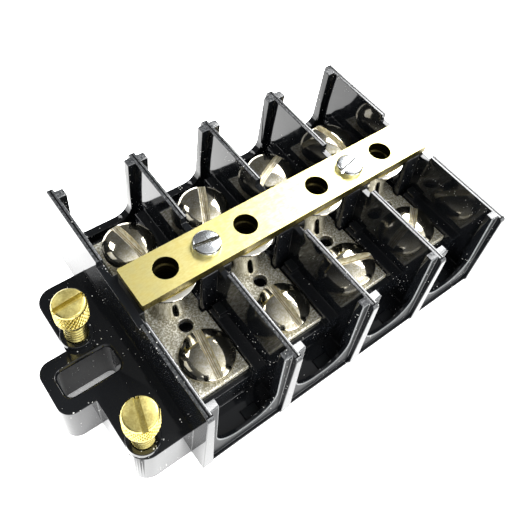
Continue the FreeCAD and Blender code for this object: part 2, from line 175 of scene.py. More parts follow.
@dataclass(frozen=True)
class Finish:
    """A surface: its name, colour and gloss. Patterns are added by the kinds below."""

    name: str
    colour: str
    roughness: float

    def start(self, metallic: float) -> tuple[bpy.types.Material, Tree, bpy.types.Node, Socket]:
        """Make the material with its shader and millimetre coordinates.

        Args:
            metallic: 1 for bare metal, 0 for plastic.

        Returns:
            Material, node tree, shader node and a coordinate socket in millimetres.
        """
        material = bpy.data.materials.new(self.name)
        material.use_nodes = True
        tree = material.node_tree
        shader = tree.nodes["Principled BSDF"]
        shader.inputs["Base Color"].default_value = linear(self.colour)
        shader.inputs["Metallic"].default_value = metallic
        shader.inputs["Roughness"].default_value = self.roughness
        place = add_node(tree, "ShaderNodeTexCoord")
        scaled = add_node(tree, "ShaderNodeMapping", {"Scale": (1000.0, 1000.0, 1000.0)},
                          {"Vector": place.outputs["Object"]})
        return material, tree, shader, scaled.outputs["Vector"]


@dataclass(frozen=True)
class MouldedPhenolic(Finish):
    """Black phenolic, compression moulded in a polished tool.

    That gives a near mirror, a little hazier where the melt flowed, and a skin that is not
    quite even. Handling has worn the barriers' tops grey and dull. White dust lies on it.
    """

    ior: float = 1.5
    specular: float = 0.5
    flow_mm: float = 7.0
    haze: float = 0.05
    skin_mm: float = 2.2
    skin_strength: float = 0.12
    skin_deep_mm: float = 0.04
    # dust: one grain in a cell at most, and none in the share dust_rarity of the cells;
    # real grains are finer and would not show
    dust_colour: str = "f0f0ea"
    dust_cell_mm: float = 0.52
    dust_radius_mm: float = 0.135
    dust_patch: tuple[float, float] = (0.36, 0.58)
    dust_rarity: float = 0.55
    # rubbed tops: real scratches are some hundredths of a millimetre wide, drawn coarser
    rubbed_above_mm: float = 19.1
    rubbed_colour: str = "c9cccf"
    rubbed_pale: tuple[float, float] = (0.04, 0.15)
    rubbed_roughness: float = 0.24
    rubbed_spread: float = 0.07
    rubbed_sheen: float = 1.8
    scratch_mm: float = 0.35
    scratch_deep_mm: float = 0.005

    def dust(self, tree: Tree, mm: Socket, flow: Socket) -> Socket:
        """Scatter the dust, thicker in patches.

        Args:
            tree: the material's node tree.
            mm: coordinates in millimetres.
            flow: a slow noise that the patches follow.

        Returns:
            A socket that is 1 on a grain and 0 beside it.
        """
        cells = add_node(tree, "ShaderNodeTexVoronoi", {"Scale": 1.0 / self.dust_cell_mm},
                         {"Vector": mm})
        tone = add_node(tree, "ShaderNodeSeparateColor", None, {"Color": cells.outputs["Color"]})
        patch = add_node(tree, "ShaderNodeMapRange",
                         {"From Min": self.dust_patch[0], "From Max": self.dust_patch[1]},
                         {"Value": flow})
        largest = add_node(tree, "ShaderNodeMath", {1: self.dust_radius_mm / self.dust_cell_mm},
                           {0: patch.outputs["Result"]}, operation="MULTIPLY")
        size = add_node(tree, "ShaderNodeMapRange", {"From Min": self.dust_rarity},
                        {"Value": tone.outputs["Red"], "To Max": largest.outputs["Value"]})
        spot = add_node(tree, "ShaderNodeMath", None,
                        {0: cells.outputs["Distance"], 1: size.outputs["Result"]},
                        operation="LESS_THAN")
        return spot.outputs["Value"]

    def tops(self, tree: Tree, mm: Socket) -> Socket:
        """Tell the tops of the barriers, which stand proud, from the rest.

        Args:
            tree: the material's node tree.
            mm: coordinates in millimetres.

        Returns:
            A socket that is 1 on a top and 0 elsewhere.
        """
        height = add_node(tree, "ShaderNodeSeparateXYZ", None, {"Vector": mm})
        proud = add_node(tree, "ShaderNodeMath", {1: self.rubbed_above_mm},
                         {0: height.outputs["Z"]}, operation="GREATER_THAN")
        top = add_node(tree, "ShaderNodeMath", None,
                       {0: proud.outputs["Value"], 1: facing_up(tree, 0.6)},
                       operation="MULTIPLY")
        return top.outputs["Value"]

    def build(self) -> bpy.types.Material:
        """Build the plastic with its gloss, its rubbed tops and its dust.

        Returns:
            The material.
        """
        material, tree, shader, mm = self.start(0.0)
        shader.inputs["IOR"].default_value = self.ior
        flow = add_node(tree, "ShaderNodeTexNoise",
                        {"Scale": 1.0 / self.flow_mm, "Detail": 3.0}, {"Vector": mm})
        scuff = add_node(tree, "ShaderNodeTexNoise",
                         {"Scale": 1.0 / self.scratch_mm, "Detail": 6.0}, {"Vector": mm})
        spot = self.dust(tree, mm, flow.outputs["Fac"])
        top = self.tops(tree, mm)

        # colour: the moulding's own, white on the dust, greyer on the rubbed tops
        dusty = add_node(tree, "ShaderNodeMix",
                         {6: linear(self.colour), 7: linear(self.dust_colour)},
                         {0: spot}, data_type="RGBA")
        pale = add_node(tree, "ShaderNodeMapRange",
                        {"From Min": 0.38, "From Max": 0.66, "To Min": self.rubbed_pale[0],
                         "To Max": self.rubbed_pale[1]},
                        {"Value": scuff.outputs["Fac"]})
        share = add_node(tree, "ShaderNodeMath", None, {0: pale.outputs["Result"], 1: top},
                         operation="MULTIPLY")
        tinted = add_node(tree, "ShaderNodeMix", {7: linear(self.rubbed_colour)},
                          {0: share.outputs["Value"], 6: dusty.outputs[2]}, data_type="RGBA")
        tree.links.new(tinted.outputs[2], shader.inputs["Base Color"])

        # gloss: hazy along the flow, dull on the rubbed tops, matt on the dust
        sheen = add_node(tree, "ShaderNodeMapRange",
                         {"To Min": self.specular, "To Max": self.specular * self.rubbed_sheen},
                         {"Value": top})
        tree.links.new(sheen.outputs["Result"], shader.inputs["Specular IOR Level"])
        gloss = add_node(tree, "ShaderNodeMapRange",
                         {"From Min": 0.35, "From Max": 0.7, "To Min": self.roughness,
                          "To Max": self.roughness + self.haze},
                         {"Value": flow.outputs["Fac"]})
        worn = add_node(tree, "ShaderNodeMapRange",
                        {"From Min": 0.35, "From Max": 0.65,
                         "To Min": self.rubbed_roughness - self.rubbed_spread,
                         "To Max": self.rubbed_roughness + self.rubbed_spread},
                        {"Value": scuff.outputs["Fac"]})
        rubbed = add_node(tree, "ShaderNodeMath", None, {0: worn.outputs["Result"], 1: top},
                          operation="MULTIPLY")
        skinned = add_node(tree, "ShaderNodeMath", None,
                           {0: gloss.outputs["Result"], 1: rubbed.outputs["Value"]},
                           operation="MAXIMUM")
        matt = add_node(tree, "ShaderNodeMath", None, {0: skinned.outputs["Value"], 1: spot},
                        operation="MAXIMUM")
        tree.links.new(matt.outputs["Value"], shader.inputs["Roughness"])

        # relief: the uneven skin, and fine scratches on the tops
        skin = add_node(tree, "ShaderNodeTexNoise", {"Scale": 1.0 / self.skin_mm, "Detail": 2.0},
                        {"Vector": mm})
        bump = add_node(tree, "ShaderNodeBump",
                        {"Strength": self.skin_strength, "Distance": self.skin_deep_mm * MM},
                        {"Height": skin.outputs["Fac"]})
        scratched = add_node(tree, "ShaderNodeBump", {"Distance": self.scratch_deep_mm * MM},
                             {"Height": scuff.outputs["Fac"], "Strength": top,
                              "Normal": bump.outputs["Normal"]})
        tree.links.new(scratched.outputs["Normal"], shader.inputs["Normal"])
        return material


@dataclass(frozen=True)
class PlatedMetal(Finish):
    """Plated or bare metal with grain drawn along one axis, or speckled all ways.

    stretch is the grain's length over its width along X, Y and Z; grain_mm its width, and
    worn_mm the width of the patches in which it is stronger. Where the grain is low the
    metal takes the shade's colour and is duller by spread.
    """

    grain_mm: float = 0.3
    stretch: tuple[float, float, float] = (1.0, 1.0, 1.0)
    worn_mm: float = 1.1
    relief_mm: float = 0.01
    relief: float = 0.3
    shade: str = "9a9078"
    spread: float = 0.15
    top_roughness: float = 0.0
    # grain times patches has its middle here, and the colour changes within soft of it
    middle: float = 0.26
    soft: float = 0.115

    def build(self) -> bpy.types.Material:
        """Build the metal with its grain in colour, gloss and relief.

        Returns:
            The material.
        """
        material, tree, shader, mm = self.start(1.0)
        scale = tuple(1.0 / (self.grain_mm * s) for s in self.stretch)
        drawn = add_node(tree, "ShaderNodeMapping", {"Scale": scale}, {"Vector": mm})
        grain = add_node(tree, "ShaderNodeTexNoise", {"Scale": 1.0, "Detail": 4.0},
                         {"Vector": drawn.outputs["Vector"]})
        worn = add_node(tree, "ShaderNodeTexNoise", {"Scale": 1.0 / self.worn_mm, "Detail": 5.0},
                        {"Vector": mm})
        mixed = add_node(tree, "ShaderNodeMath", None,
                         {0: grain.outputs["Fac"], 1: worn.outputs["Fac"]}, operation="MULTIPLY")
        ramp = add_node(tree, "ShaderNodeMapRange",
                        {"From Min": self.middle - self.soft, "From Max": self.middle + self.soft},
                        {"Value": mixed.outputs["Value"]})
        tint = add_node(tree, "ShaderNodeMix", {6: linear(self.shade), 7: linear(self.colour)},
                        {0: ramp.outputs["Result"]}, data_type="RGBA")
        tree.links.new(tint.outputs[2], shader.inputs["Base Color"])
        rough = add_node(tree, "ShaderNodeMapRange",
                         {"To Min": self.roughness + self.spread, "To Max": self.roughness},
                         {"Value": ramp.outputs["Result"]})
        gloss = rough.outputs["Result"]
        if self.top_roughness > 0.0:
            matt = add_node(tree, "ShaderNodeMath", {1: self.top_roughness},
                            {0: facing_up(tree, 0.8)}, operation="MULTIPLY")
            top = add_node(tree, "ShaderNodeMath", None,
                           {0: gloss, 1: matt.outputs["Value"]}, operation="MAXIMUM")
            gloss = top.outputs["Value"]
        tree.links.new(gloss, shader.inputs["Roughness"])
        bump = add_node(tree, "ShaderNodeBump",
                        {"Strength": self.relief, "Distance": self.relief_mm * MM},
                        {"Height": grain.outputs["Fac"]})
        tree.links.new(bump.outputs["Normal"], shader.inputs["Normal"])
        return material


@dataclass(frozen=True)
class LightTable(Finish):
    """White acrylic sheet lit from beneath: plain and matt, with painted shade where something
    covers it.

    The glow dies away where less of the sky than sky[0] is open, and is full from sky[1].
    """

    glow: float = 2.4
    shade_mm: float = 14.0
    sky: tuple[float, float] = (0.12, 0.5)
    cloud_mm: float = 4.0

    def build(self) -> bpy.types.Material:
        """Build the sheet with its glow, which dies away where something covers it: painted shade.

        Returns:
            The material.
        """
        material, tree, shader, mm = self.start(0.0)
        cloud = add_node(tree, "ShaderNodeTexNoise", {"Scale": 1.0 / self.cloud_mm, "Detail": 2.0},
                         {"Vector": mm})
        tint = add_node(tree, "ShaderNodeMix", {6: linear("f6f6f4"), 7: linear("fafaf8")},
                        {0: cloud.outputs["Fac"]}, data_type="RGBA")
        tree.links.new(tint.outputs[2], shader.inputs["Base Color"])
        shader.inputs["Emission Color"].default_value = linear("ffffff")
        # painted shade: ambient occlusion cuts the glow under and beside the strip
        painted_shade_ao = add_node(tree, "ShaderNodeAmbientOcclusion", {"Distance": self.shade_mm * MM},
                            samples=6)
        strong = add_node(tree, "ShaderNodeMapRange",
                          {"From Min": self.sky[0], "From Max": self.sky[1], "To Max": self.glow},
                          {"Value": painted_shade_ao.outputs["AO"]})
        tree.links.new(strong.outputs["Result"], shader.inputs["Emission Strength"])
        return material


class Finishes:
    """Every finish of the strip, built once."""

    def __init__(self) -> None:
        """Build the materials."""
        # compression-moulded phenolic: black with mirror-like reflections and white dust
        self.phenolic = MouldedPhenolic("black_phenolic_moulded", "15171a", 0.05).build()
        # where the tool was left rough: an even, lightless black on the ends and the pads
        self.matt = MouldedPhenolic("black_phenolic_matt_ends", "16181a", 0.42, specular=0.12,
                                    skin_mm=0.35, skin_strength=0.5).build()
        # where the two halves of the tool met: a dark line along each top
        self.parting = MouldedPhenolic("black_phenolic_parting_line", "0b0c0e", 0.25,
                                       rubbed_above_mm=99.0, specular=0.12).build()
        # painted highlight: a thin grey outline on the rounded outer edge of each opening, where
        # light catches it
        self.rubbed = MouldedPhenolic("black_phenolic_rubbed_edge", "6e7172", 0.3).build()
        # nickel on rolled strip: satin silver, pale, with warm specks. Real grain is under a
        # tenth of this width and is drawn coarse enough to show
        self.plate = PlatedMetal("nickel_plated_strip_satin", "fffef6", 0.46, grain_mm=0.3,
                                 relief_mm=0.05, relief=0.8, shade="b9b299",
                                 soft=0.07, worn_mm=0.33).build()
        # nickel on a turning: bright, with rings round it from the lathe tool, 0.12 mm apart
        self.post = PlatedMetal("nickel_plated_turning", "f4f1e8", 0.1, grain_mm=0.12,
                                stretch=(30.0, 30.0, 1.0), relief_mm=0.002,
                                shade="dcd7c8", spread=0.04).build()
        # nickel on a polished head: a mirror that is faintly yellow and hardly marked
        self.binding = PlatedMetal("nickel_plated_screw_polished", "f3eee0", 0.05, grain_mm=0.3,
                                   relief_mm=0.006, relief=0.2, shade="cfc6a8",
                                   spread=0.05).build()
        # rolled brass: satin pale gold, grain along the bar, coarser than rolling leaves it
        self.bar = PlatedMetal("rolled_brass_satin", "efe49e", 0.36, grain_mm=0.3,
                               stretch=(3.0, 1.0, 1.0), relief_mm=0.004, relief=0.3,
                               shade="dfd082", spread=0.06).build()
        # nickel over a milled slot: rough and nearly white, as the cutter's marks scatter light
        self.milled = PlatedMetal("nickel_plated_milled_slot", "fffdf4", 0.42, grain_mm=0.14,
                                  relief_mm=0.03, relief=0.8, shade="cfc7a8").build()
        # brass torn by shears: dull sides with upright streaks, laid dark olive as a painted
        # reflection of the black moulding
        self.sheared_with_painted_reflection = PlatedMetal("sheared_brass_edge", "7a6f3a", 0.35, grain_mm=0.2,
                                   stretch=(1.0, 1.0, 5.0), shade="4d4520").build()
        # bright zinc on steel: cold blue-white, a little cloudy
        self.zinc = PlatedMetal("zinc_plated_steel_bright", "f1f3f5", 0.2, grain_mm=0.35,
                                relief_mm=0.02, relief=0.5, shade="c3c8cb", spread=0.1).build()
        # turned and knurled brass: bright yellow sparkle, with a faced top that is dull
        self.knurled = PlatedMetal("turned_brass_knurled", "e2d68c", 0.14, grain_mm=0.28,
                                   relief_mm=0.04, relief=0.5, shade="bfae66", spread=0.1,
                                   top_roughness=0.42).build()
        # painted shade: dark brown in the holes, on the ring round each post's hole and on the bar
        # screws' slot walls; on those screws' broken edges it is a painted reflection
        self.painted_brown_shade_and_reflection = PlatedMetal("tapped_bore_oiled", "4a4327", 0.4, shade="2b2716").build()
        # turned brass, bare: warm yellow; at the bottom of the slots' deep tool marks it is
        # painted shade
        self.sleeve_and_painted_groove_shade = PlatedMetal("turned_brass_sleeve", "d8b968", 0.25).build()
        # zinc on pressed nuts: plain grey
        self.nut = PlatedMetal("zinc_plated_nut", "c9cbc9", 0.25, shade="9b9d9b").build()
        self.table = LightTable("white_acrylic_light_table", "f8f8f6", 0.9).build()


# ---- mesh tools ----


def settle(bm: bmesh.types.BMesh, name: str) -> bpy.types.Object:
    """Merge doubles, turn faces outwards and make the mesh an object at the origin.

    Args:
        bm: the mesh, in metres, in its place; it is used up.
        name: the piece's name.

    Returns:
        The new object.
    """
    bmesh.ops.remove_doubles(bm, verts=bm.verts, dist=WELD_MM * MM)
    bmesh.ops.recalc_face_normals(bm, faces=bm.faces)
    mesh = bpy.data.meshes.new(name)
    bm.to_mesh(mesh)
    bm.free()
    for face in mesh.polygons:
        face.use_smooth = True
    mesh.set_sharp_from_angle(angle=math.radians(SHARP_DEGREES))
    made = bpy.data.objects.new(name, mesh)
    bpy.context.scene.collection.objects.link(made)
    return made


def soften(piece: bpy.types.Object, width_mm: float, segments: int = 2,
           angle: float = SHARP_DEGREES, clamp: bool = True, weighed: bool = False) -> None:
    """Round a piece's sharp edges with a bevel modifier.

    Args:
        piece: the object.
        width_mm: the bevel's width.
        segments: its steps.
        angle: edges sharper than this, in degrees, are rounded.
        clamp: whether short edges nearby hold the width down.
        weighed: whether the edges' own weights say how much each is rounded instead.
    """
    bevel = piece.modifiers.new("edge_round", "BEVEL")
    bevel.width = width_mm * MM
    bevel.segments = segments
    bevel.limit_method = "WEIGHT" if weighed else "ANGLE"
    bevel.angle_limit = math.radians(angle)
    bevel.profile = 0.5
    bevel.harden_normals = True
    bevel.use_clamp_overlap = clamp


def turn_profile(points: Outline, centre: tuple[float, float],
                 steps: int = 72) -> bmesh.types.BMesh:
    """Spin a (radius, height) outline round the upright through centre.

    Args:
        points: the outline in mm, from the axis to the axis.
        centre: x and y of the axis, mm.
        steps: sides of the turning.

    Returns:
        The turned mesh, in metres.
    """
    bm = bmesh.new()
    x, y = centre
    verts = [bm.verts.new(((x + r) * MM, y * MM, z * MM)) for r, z in points]
    edges = [bm.edges.new(pair) for pair in zip(verts, verts[1:])]
    bmesh.ops.spin(bm, geom=verts + edges, cent=(x * MM, y * MM, 0.0), axis=(0.0, 0.0, 1.0),
                   angle=math.tau, steps=steps, use_merge=True)
    bmesh.ops.remove_doubles(bm, verts=bm.verts, dist=WELD_MM * MM)
    return bm


def cut_with(piece: bpy.types.Object, cutter: bmesh.types.BMesh) -> None:
    """Cut a closed piece with a closed cutter and keep the result as its mesh.

    Args:
        piece: the object to cut.
        cutter: the mesh that is taken away; it is used up.
    """
    tool = settle(cutter, piece.name + "_cutter")
    cut = piece.modifiers.new("cut", "BOOLEAN")
    cut.operation = "DIFFERENCE"
    cut.solver = "EXACT"
    cut.object = tool
    bpy.context.view_layer.update()
    ready = piece.evaluated_get(bpy.context.evaluated_depsgraph_get())
    mesh = bpy.data.meshes.new_from_object(ready)
    piece.modifiers.remove(cut)
    piece.data = mesh
    bpy.data.objects.remove(tool)
    mesh.set_sharp_from_angle(angle=math.radians(SHARP_DEGREES))


def slot_bar(x: float, y: float, z: float, length: float, width: float, depth: float,
             angle: float) -> bmesh.types.BMesh:
    """Make the block that cuts a screwdriver slot.

    Args:
        x: centre, mm.
        y: centre, mm.
        z: height of the head's top, mm.
        length: length of the block, mm.
        width: width of the slot, mm.
        depth: depth of the slot, mm.
        angle: direction, degrees from +X.

    Returns:
        The block, in metres.
    """
    above = 3.0
    bm = bmesh.new()
    bmesh.ops.create_cube(bm, size=1.0)
    bmesh.ops.scale(bm, vec=(length * MM, width * MM, (depth + above) * MM), verts=bm.verts)
    bmesh.ops.rotate(bm, verts=bm.verts, cent=(0.0, 0.0, 0.0),
                     matrix=Matrix.Rotation(math.radians(angle), 3, "Z"))
    bmesh.ops.translate(bm, verts=bm.verts,
                        vec=(x * MM, y * MM, (z + (above - depth) / 2) * MM))
    return bm


def thread_ridge(x: float, y: float, low: float, high: float, core: float, crest: float,
                 lead: float, steps: int = 28) -> bmesh.types.BMesh:
    """Sweep a thread's tooth up a helix.

    Args:
        x: axis, mm.
        y: axis, mm.
        low: height of the first turn's foot, mm.
        high: height of the last turn's top, mm.
        core: radius the tooth stands on, mm.
        crest: radius of the tooth's tip, mm.
        lead: rise in one turn, mm.
        steps: steps in one turn.

    Returns:
        The ridge as a closed mesh, in metres.
    """
    sunk = 0.08
    half = lead * 0.44
    tip = half * 0.14
    bm = bmesh.new()
    z = low + half
    tooth = [(core - sunk, z - half), (crest, z - tip), (crest, z + tip), (core - sunk, z + half)]
    start = bm.faces.new([bm.verts.new(((x + r) * MM, y * MM, h * MM)) for r, h in tooth])
    turns = max(1.0, (high - low - 2 * half) / lead)
    count = int(turns * steps)
    bmesh.ops.spin(bm, geom=[start], cent=(x * MM, y * MM, 0.0), axis=(0.0, 0.0, 1.0),
                   dvec=(0.0, 0.0, turns * lead / count * MM), angle=math.tau * turns,
                   steps=count, use_duplicate=False)
    return bm


def add_shells(piece: bpy.types.Object, parts: list[bmesh.types.BMesh]) -> None:
    """Add closed shells, such as ridges, to a piece's mesh.

    Args:
        piece: the object they are added to.
        parts: the shells, in metres; they are used up.
    """
    extra = bmesh.new()
    holder = bpy.data.meshes.new("holder")
    for part in parts:
        part.to_mesh(holder)
        part.free()
        extra.from_mesh(holder)
    bmesh.ops.recalc_face_normals(extra, faces=extra.faces)
    extra.to_mesh(holder)
    extra.free()
    whole = bmesh.new()
    whole.from_mesh(piece.data)
    whole.from_mesh(holder)
    for face in whole.faces:
        face.smooth = True
    whole.to_mesh(piece.data)
    whole.free()
    bpy.data.meshes.remove(holder)
    piece.data.set_sharp_from_angle(angle=math.radians(SHARP_DEGREES))


def split_faces(bm: bmesh.types.BMesh, chosen: Callable[[bmesh.types.BMFace], bool],
                point: tuple[float, float, float],
                normal: tuple[float, float, float]) -> None:
    """Split some of a mesh's faces along a plane.

    Args:
        bm: the mesh, in metres.
        chosen: says of a face whether it is split.
        point: a point of the plane, mm.
        normal: the plane's normal.
    """
    faces = [face for face in bm.faces if chosen(face)]
    geom = set(faces)
    for face in faces:
        geom.update(face.verts)
        geom.update(face.edges)
    bmesh.ops.bisect_plane(bm, geom=list(geom), dist=PLANE_MM * MM,
                           plane_co=tuple(v * MM for v in point), plane_no=normal)


def welded_copy(node: str) -> bmesh.types.BMesh:
    """Copy a CAD node's loose triangles into one welded mesh of large faces.

    Args:
        node: the CAD node's name.

    Returns:
        The welded mesh.
    """
    bm = bmesh.new()
    bm.from_mesh(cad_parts[node].data)
    bmesh.ops.remove_doubles(bm, verts=bm.verts, dist=2 * WELD_MM * MM)
    bmesh.ops.dissolve_limit(bm, angle_limit=math.radians(0.6), verts=bm.verts, edges=bm.edges)
    return bm


def dress(piece: bpy.types.Object, material: bpy.types.Material, body: str, slot: str,
          *nodes: str) -> None:
    """Give a piece its finish and tie it to the frame.

    Args:
        piece: the object.
        material: its finish.
        body: the CAD body it rides on.
        slot: not used.
        nodes: the CAD nodes it stands for.
    """
    piece.data.materials.clear()
    piece.data.materials.append(material)
    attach(piece, body)
    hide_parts(*nodes)
    LOG.info("%s: %d faces", piece.name, len(piece.data.polygons))


def refinish(piece: bpy.types.Object, material: bpy.types.Material,
             chosen: Callable[[Face], bool]) -> None:
    """Give some faces of a dressed piece a finish of their own.

    Args:
        piece: the object, already dressed.
        material: the finish.
        chosen: says of a face whether it has that finish.
    """
    piece.data.materials.append(material)
    index = len(piece.data.materials) - 1
    for face in piece.data.polygons:
        if chosen(face):
            face.material_index = index


def from_post(face: Face) -> float:
    """Measure how far a face lies from the nearest post's axis.

    Args:
        face: the face.

    Returns:
        The distance, mm.
    """
    return min(math.hypot(face.center.x / MM - bay, face.center.y / MM) for bay in BAYS)


# ---- sub-assemblies ----


@dataclass
class MouldedBase:
    """The black moulding: barriers, panels, pillars, pockets and the end flange."""

    finishes: Finishes
    edge_mm: float = 0.13
    sharp_degrees: float = 28.0
    # the tops: a sunk line in the middle, a gentle slope to its left, a knee to its right
    line_mm: float = 0.08
    line_deep_mm: float = 0.04
    left_slope: float = 2.5
    right_slopes: tuple[float, float] = (5.0, 17.0)
    knee_mm: float = 0.34
    slope_reach_mm: float = 0.62
    # the outer ends of the barriers and panels, measured from the strip's middle
    end_from_mm: float = 23.35
    end_to_mm: float = 24.05
    # the wire openings
    mouth_from_z: float = 2.0
    mouth_edge_mm: float = 0.17
    # the last barrier's notch lies within this much of the strip's middle
    notch_mm: float = 12.0
    # the collars round the parking holes; one's foot touches the flange's outline, where
    # the flange's top is split at deck_x and deck_y
    collar_reach_mm: float = 4.6
    foot_share: float = 0.12
    tangent_mm: float = 3.05
    tangent_x: float = -41.0
    deck_x: float = -40.8
    deck_y: float = -15.5
    tangent_levels: tuple[float, float] = (8.4, 9.75)
    tangent_share: float = 0.15
    # heights of the faces that are matt: the pads and the ledges
    matt_levels: tuple[float, float] = (2.15, 10.0)

    def drop(self, x: float) -> float:
        """Work out how far a point of a top lies below its highest.

        Args:
            x: the point's place along the strip, mm.

        Returns:
            The depth, mm.
        """
        wall = min(WALLS, key=lambda place: abs(place - x))
        away = abs(x - wall)
        if away < self.line_mm / 4:
            return self.line_deep_mm
        reach = max(0.0, min(away, self.slope_reach_mm) - self.line_mm)
        if x < wall:
            return reach * math.tan(math.radians(self.left_slope))
        flat, steep = (math.tan(math.radians(s)) for s in self.right_slopes)
        knee = self.knee_mm - self.line_mm
        return min(reach, knee) * flat + max(0.0, reach - knee) * steep

    def crests(self, bm: bmesh.types.BMesh) -> None:
        """Give the barriers' tops their fine parting line and the slopes beside it.

        Args:
            bm: the moulding's welded mesh, in metres.
        """
        least = (WALL_TOP_Z - 0.01) * MM

        def top(face: bmesh.types.BMFace) -> bool:
            """Say whether a face is a barrier's top."""
            return all(v.co.z > least for v in face.verts)

        for wall in WALLS:
            for off in (-self.line_mm, 0.0, self.line_mm, self.knee_mm):
                split_faces(bm, top, (wall + off, 0.0, 0.0), (1.0, 0.0, 0.0))
        shaped = [vert for vert in bm.verts if vert.co.z >= least]
        for vert in shaped:
            vert.co.z -= self.drop(vert.co.x / MM) * MM
        LOG.info("crests: %d points shaped", len(shaped))

    def at_mouth(self, edge: bmesh.types.BMEdge) -> bool:
        """Say whether an edge runs round the outside of a wire opening.

        Args:
            edge: an edge of the moulding's welded mesh.

        Returns:
            Whether it is a convex edge between an outer end and an opening's wall.
        """
        if len(edge.link_faces) != 2:
            return False
        outer = all(self.end_from_mm < abs(v.co.y / MM) < self.end_to_mm for v in edge.verts)
        low = max(v.co.z for v in edge.verts) < (WALL_TOP_Z + 0.1) * MM
        high = min(v.co.z for v in edge.verts) > self.mouth_from_z * MM
        wall, end = sorted(abs(face.normal.y) for face in edge.link_faces)
        square = wall < 0.3 and end > FLAT
        return outer and low and high and square and edge.calc_face_angle_signed(0.0) > 0.5

    def mouths(self, bm: bmesh.types.BMesh) -> None:
        """Round the outer edges of the U-shaped wire openings, and mark them for the painted
        highlight.

        Args:
            bm: the moulding's welded mesh, in metres.
        """
        bm.normal_update()
        picked = [edge for edge in bm.edges if self.at_mouth(edge)]
        made = bmesh.ops.bevel(bm, geom=picked, offset=self.mouth_edge_mm * MM, segments=4,
                               profile=0.5, affect="EDGES", material=-1, clamp_overlap=False)
        # the rounded faces get the painted highlight's grey
        for face in made["faces"]:
            face.material_index = Patch.RUBBED
        LOG.info("mouths: %d edges rounded", len(picked))

    def ease_faces(self, bm: bmesh.types.BMesh) -> None:
        """Split the two faces whose outline is too winding for the edge rounding.

        Args:
            bm: the moulding's welded mesh, in metres.
        """
        def outer(face: bmesh.types.BMFace) -> bool:
            """Say whether a face is the last barrier's outer side."""
            return face.normal.x > FLAT and face.calc_center_median().x > WALLS[-1] * MM

        def deck(face: bmesh.types.BMFace) -> bool:
            """Say whether a face is the flange's top."""
            middle = face.calc_center_median() / MM
            level = abs(middle.z - FLANGE_TOP_Z) < 0.05
            return face.normal.z > FLAT and level and middle.x < WALLS[0]

        for side in (-1, 1):
            split_faces(bm, outer, (0.0, side * self.notch_mm, 0.0), (0.0, 1.0, 0.0))
        split_faces(bm, deck, (self.deck_x, 0.0, 0.0), (1.0, 0.0, 0.0))
        split_faces(bm, deck, (0.0, self.deck_y, 0.0), (0.0, 1.0, 0.0))

    def weigh_edges(self, bm: bmesh.types.BMesh) -> None:
        """Weigh the edges that are rounded: all sharp ones, the feet of the collars least.

        Args:
            bm: the moulding's welded mesh, in metres.
        """
        bm.normal_update()
        weight = bm.edges.layers.float.new("bevel_weight_edge")
        low, high = self.tangent_levels
        for edge in bm.edges:
            turn = edge.calc_face_angle_signed(0.0)
            middle = (edge.verts[0].co + edge.verts[1].co) / 2 / MM
            near = min(math.hypot(middle.x - x, middle.y - y) for x, y, _ in PARKED)
            touching = near < self.tangent_mm and middle.x < self.tangent_x
            if abs(turn) <= math.radians(self.sharp_degrees):
                edge[weight] = 0.0
            elif touching and low < middle.z < high:
                # a foot and the flange's outline meet there: two full roundings would cross
                edge[weight] = self.tangent_share
            elif near < self.collar_reach_mm and turn < 0.0:
                edge[weight] = self.foot_share
            else:
                edge[weight] = 1.0

    def crease_tops(self, piece: bpy.types.Object) -> None:
        """Keep the lines along the barriers' tops crisp in the shading.

        Args:
            piece: the moulding.
        """
        for edge in piece.data.edges:
            a, b = (piece.data.vertices[i].co / MM for i in edge.vertices)
            if min(a.z, b.z) > WALL_TOP_Z - 0.05 and abs(a.x - b.x) < 0.02:
                edge.use_edge_sharp = True

    def patch(self, face: Face, rounded: bool) -> Patch:
        """Say which finish a face has.

        Args:
            face: a face of the moulding.
            rounded: whether it is part of an opening's rounded edge.

        Returns:
            The finish.
        """
        x, y, z = (v / MM for v in face.center)
        if face.normal.z > FLAT and any(abs(z - level) < 0.05 for level in self.matt_levels):
            return Patch.MATT
        if z > WALL_TOP_Z - 0.06 and min(abs(x - wall) for wall in WALLS) < self.line_mm:
            return Patch.PARTING
        # an opening's rounded edge: painted highlight
        if rounded:
            return Patch.RUBBED
        end = self.end_from_mm < abs(y) < self.end_to_mm and abs(face.normal.y) > FLAT
        return Patch.MATT if end and z < WALL_TOP_Z * 0.98 else Patch.GLOSS

    def build(self) -> None:
        """Round the moulding's edges and dress it."""
        mesh = welded_copy("moulded_base")
        self.ease_faces(mesh)
        self.crests(mesh)
        self.mouths(mesh)
        self.weigh_edges(mesh)
        piece = settle(mesh, "base_moulding")
        self.crease_tops(piece)
        soften(piece, self.edge_mm, segments=3, clamp=False, weighed=True)
        # noted before the piece is dressed, which sets every face back to its first finish
        rounded = {f.index for f in piece.data.polygons if f.material_index == Patch.RUBBED}
        dress(piece, self.finishes.phenolic, "strip", "black_plastic", "moulded_base")
        for extra in (self.finishes.matt, self.finishes.rubbed, self.finishes.parting):
            piece.data.materials.append(extra)
        for face in piece.data.polygons:
            face.material_index = self.patch(face, face.index in rounded)


@dataclass
class TerminalPlates:
    """The four nickel-plated plates, one in each bay."""

    finishes: Finishes
    edge_mm: float = 0.28

    def build(self) -> None:
        """Build each plate with rolled edges."""
        for number in range(1, POLES + 1):
            node = f"terminal_plate_{number}"
            piece = settle(welded_copy(node), f"plate_{number}")
            soften(piece, self.edge_mm, segments=3, clamp=False)
            dress(piece, self.finishes.plate, "strip", "nickel_plate", node)


